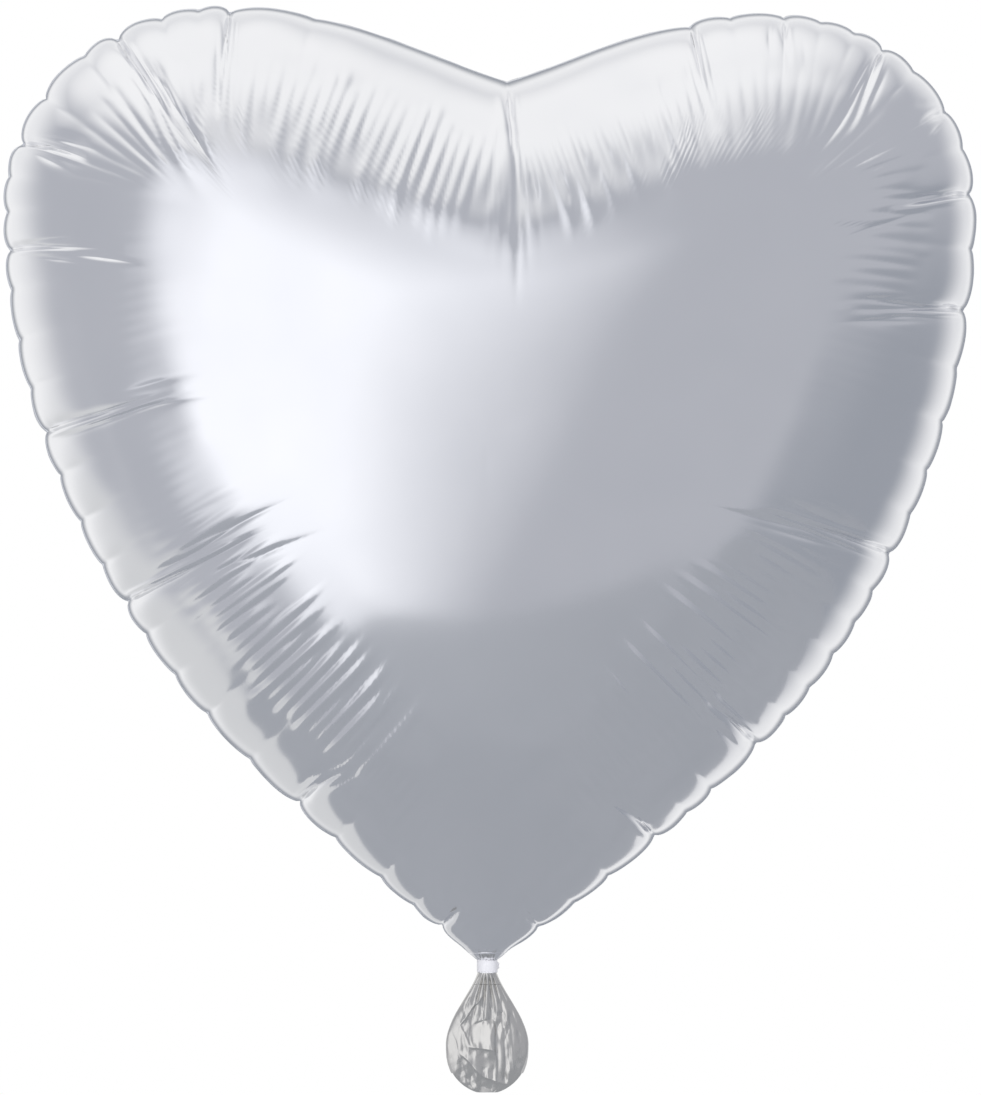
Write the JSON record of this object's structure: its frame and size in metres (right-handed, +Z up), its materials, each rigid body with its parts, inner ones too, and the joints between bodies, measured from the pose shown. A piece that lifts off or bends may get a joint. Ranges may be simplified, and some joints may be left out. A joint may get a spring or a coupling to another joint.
{
  "type": "heart-shaped foil balloon",
  "caption": "Inflated heart-shaped balloon of silver metallised film, welded round its edge, with a ribbon-tied neck and a hanging inflation tail.",
  "frame": {"origin": "middle of the ribbon wound round the gathered neck, where a string is tied on", "axes": "+Z up from the neck through the heart, +X across the lobes to the viewer's right, -Y out of the front panel"},
  "size_m": [0.38, 0.188, 0.424],
  "materials": {
    "silver_film": "satin mirror metallised film",
    "welded_film": "satin, puckered by the heat seal",
    "white_ribbon": "glossy curling ribbon",
    "clear_film": "clear thin film"
  },
  "bodies": {
    "balloon": {"front_panel": "silver_film", "back_panel": "silver_film", "edge_weld": "welded_film", "valve_front_film": "clear_film", "valve_back_film": "clear_film", "valve_side_welds": "clear_film"},
    "neck": {"neck_bead": "silver_film"},
    "tie": {"neck_gather": "silver_film", "ribbon_wrap": "white_ribbon", "ribbon_knot": "white_ribbon", "ribbon_ends": "white_ribbon"},
    "tail_neck": {"tail_bead": "silver_film"},
    "tail": {"tail_gather": "silver_film", "front_tail_leaf": "silver_film", "back_tail_leaf": "silver_film", "tail_weld_left": "welded_film", "tail_weld_right": "welded_film", "tail_valve_front": "clear_film", "tail_valve_back": "clear_film"}
  },
  "joints": [
    {"name": "neck_nod", "type": "hinge", "parent": "balloon", "child": "neck", "pos_m": [0, 0, 0.0055], "axis": [1, 0, 0], "range_deg": [-30, 30]},
    {"name": "neck_sway", "type": "hinge", "parent": "neck", "child": "tie", "pos_m": [0, 0, 0.0055], "axis": [0, 1, 0], "range_deg": [-25, 25]},
    {"name": "tail_sway", "type": "hinge", "parent": "tie", "child": "tail_neck", "pos_m": [0, 0, -0.005], "axis": [0, 1, 0], "range_deg": [-40, 40]},
    {"name": "tail_swing", "type": "hinge", "parent": "tail_neck", "child": "tail", "pos_m": [0, 0, -0.005], "axis": [1, 0, 0], "range_deg": [-70, 70]}
  ]
}
